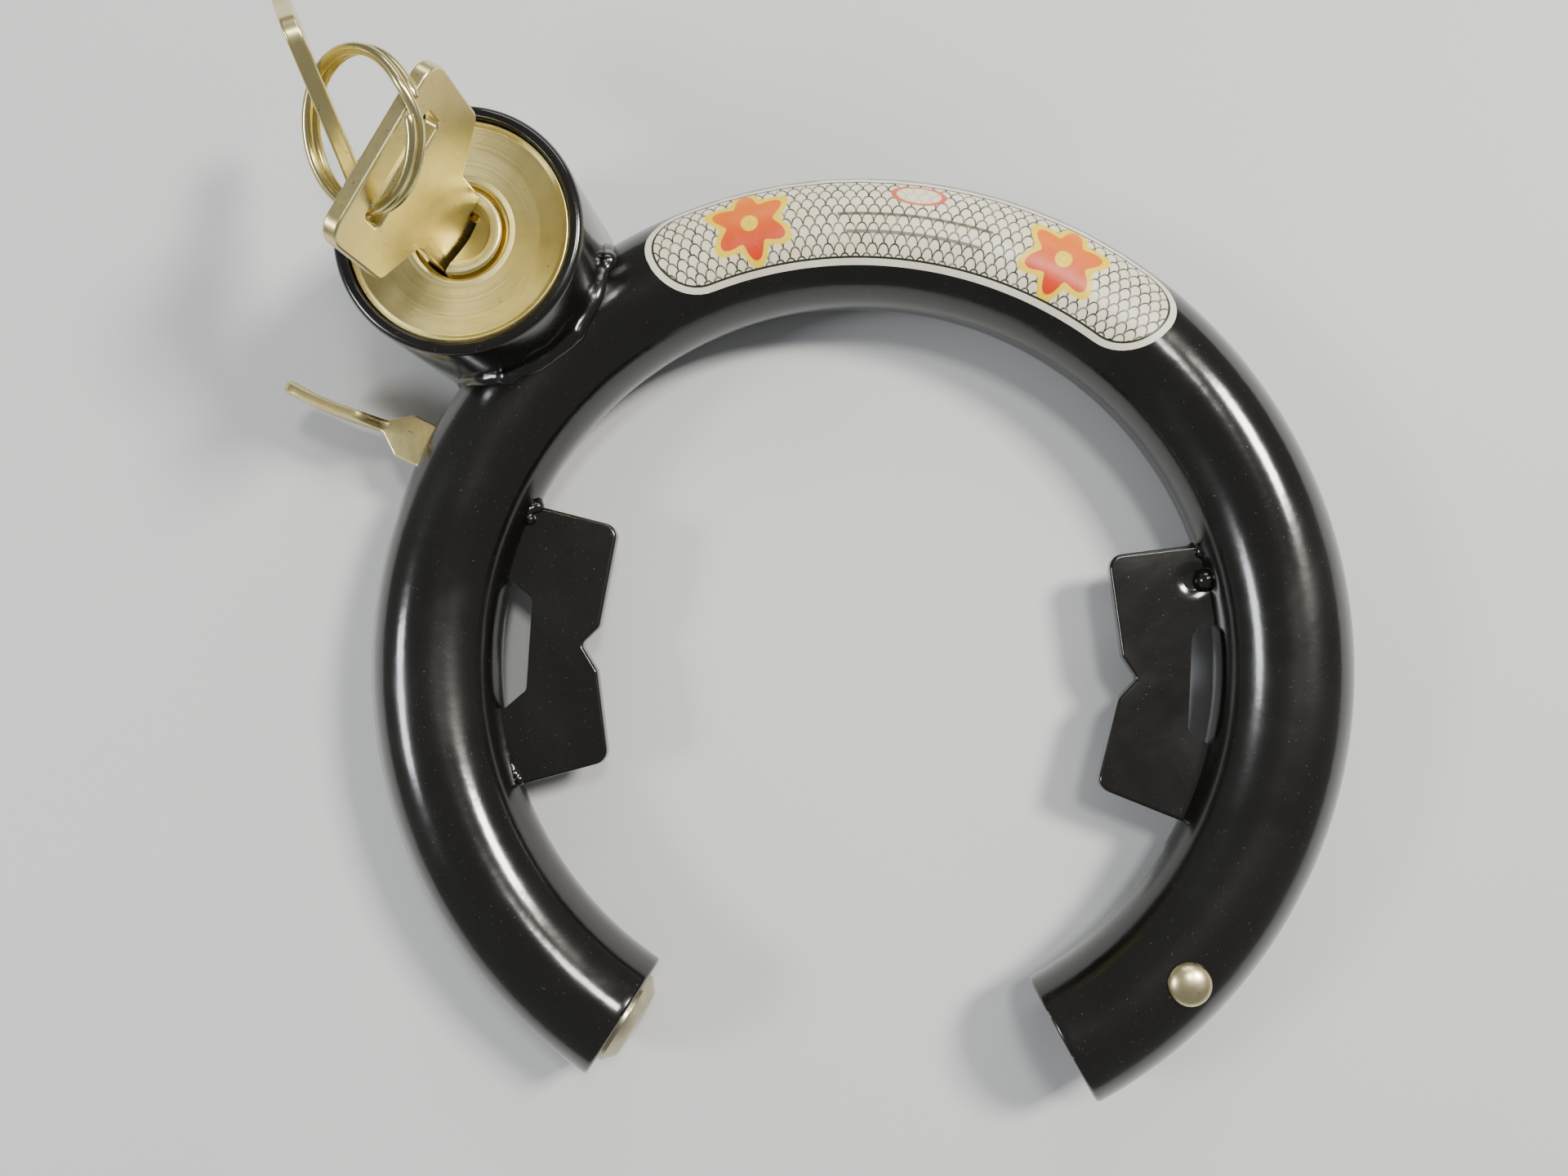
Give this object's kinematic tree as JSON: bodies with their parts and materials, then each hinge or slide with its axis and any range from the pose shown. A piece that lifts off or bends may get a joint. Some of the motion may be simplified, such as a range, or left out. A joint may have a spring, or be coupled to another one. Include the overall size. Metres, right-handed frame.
{
  "type": "bicycle ring lock",
  "caption": "Horseshoe frame lock for a bicycle wheel with a sliding shackle, thumb lever, key barrel, key ring and mounting plates.",
  "frame": {"origin": "centre of the ring, on the middle plane of its tube", "axes": "+Z out of the keyed face, +Y away from the gap that the wheel passes through, +X towards the plain mounting plate"},
  "size_m": [0.1338, 0.125, 0.0528],
  "materials": {
    "black_paint": "gloss",
    "nickel": "satin",
    "brass": "satin",
    "steel": "satin",
    "spring_steel": "satin",
    "zinc": "matte",
    "weld_paint": "gloss",
    "label": "gloss",
    "hard_steel": "polished",
    "plated_lever": "satin",
    "key_nickel": "satin"
  },
  "bodies": {
    "frame": {"ring_tube": "black_paint", "barrel_shell": "black_paint", "back_cover": "black_paint", "face_disc": "nickel", "cylinder_body": "brass", "chamber_strip": "steel", "driver_pins": "steel", "pin_springs": "spring_steel", "bolt_guide": "zinc", "bolt_spring": "spring_steel", "anchor_rivet": "nickel", "return_spring": "spring_steel", "left_bracket": "black_paint", "right_bracket": "black_paint", "barrel_weld": "weld_paint", "bracket_welds": "weld_paint", "front_label": "label"},
    "shackle": {"shackle_rod": "hard_steel", "thumb_lever": "plated_lever", "lever_pin": "steel"},
    "plug": {"key_plug": "nickel", "key_pins": "brass", "plug_clip": "steel", "drive_cam": "zinc"},
    "bolt": {"latch_bolt": "hard_steel"},
    "inserted_key": {"main_key": "key_nickel"},
    "key_ring": {"split_ring": "nickel"},
    "hanging_key": {"spare_key": "key_nickel"}
  },
  "joints": [
    {"name": "shackle_slide", "type": "hinge", "parent": "frame", "child": "shackle", "pos_m": [0, 0, 0], "axis": [0, 0, 1], "range_deg": [0, 72], "stiffness_Nm_per_rad": 0.25, "springref_deg": -20.05, "deforming": ["return_spring"]},
    {"name": "plug_turn", "type": "hinge", "parent": "frame", "child": "plug", "pos_m": [-0.04762, 0.04599, 0.01], "axis": [0, 0, 1], "range_deg": [-60, 0]},
    {"name": "bolt_draw", "type": "slide", "parent": "frame", "child": "bolt", "axis": [-0.7193, 0.6947, 0], "range_m": [0, 0.0032], "deforming": ["bolt_spring"]},
    {"name": "key_pull", "type": "slide", "parent": "plug", "child": "inserted_key", "axis": [0, 0, 1], "range_m": [0, 0.02]},
    {"name": "key_ring_swing", "type": "hinge", "parent": "inserted_key", "child": "key_ring", "pos_m": [-0.05015, 0.04161, 0.03563], "axis": [0.8942, -0.4478, 0], "range_deg": [0, 12]},
    {"name": "hanging_key_swing", "type": "hinge", "parent": "key_ring", "child": "hanging_key", "pos_m": [-0.05589, 0.05372, 0.03881], "axis": [0.8729, 0.44, -0.2106], "range_deg": [0, 15]}
  ],
  "couplings": [
    {"joint": "bolt_draw", "follows": "plug_turn", "m_per_rad": -0.003055}
  ]
}
